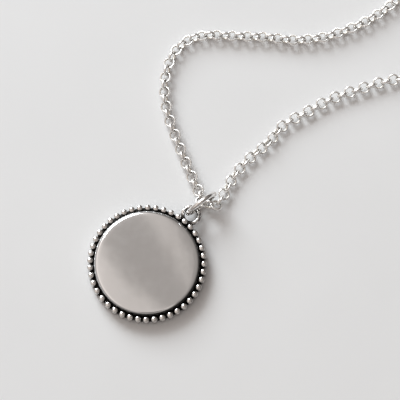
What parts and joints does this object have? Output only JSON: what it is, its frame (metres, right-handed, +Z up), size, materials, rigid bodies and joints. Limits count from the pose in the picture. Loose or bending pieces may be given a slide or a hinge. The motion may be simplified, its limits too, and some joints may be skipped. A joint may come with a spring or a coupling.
{
  "type": "disc pendant necklace",
  "caption": "Round silver disc pendant with a raised polished face and a beaded rim, lying on its back with its standing ring and its closed chain of round links.",
  "frame": {"origin": "middle of the medallion's flat back, on the surface that it lies on", "axes": "+Z up, out of the polished face; +X to the picture's right and +Y away from the picture's viewer, along the surface"},
  "size_m": [0.1778, 0.1054, 0.0063],
  "materials": {
    "medallion_silver": "polished silver face, blackened in the channel and between the beads",
    "ring_silver": "polished silver",
    "chain_silver": "bright silver links"
  },
  "bodies": {
    "root": {"medallion": "medallion_silver", "jump_ring": "ring_silver", "chain_left": "chain_silver", "chain_right": "chain_silver", "back_chain_left": "chain_silver", "back_chain_right": "chain_silver", "clasp": "ring_silver"}
  },
  "joints": []
}
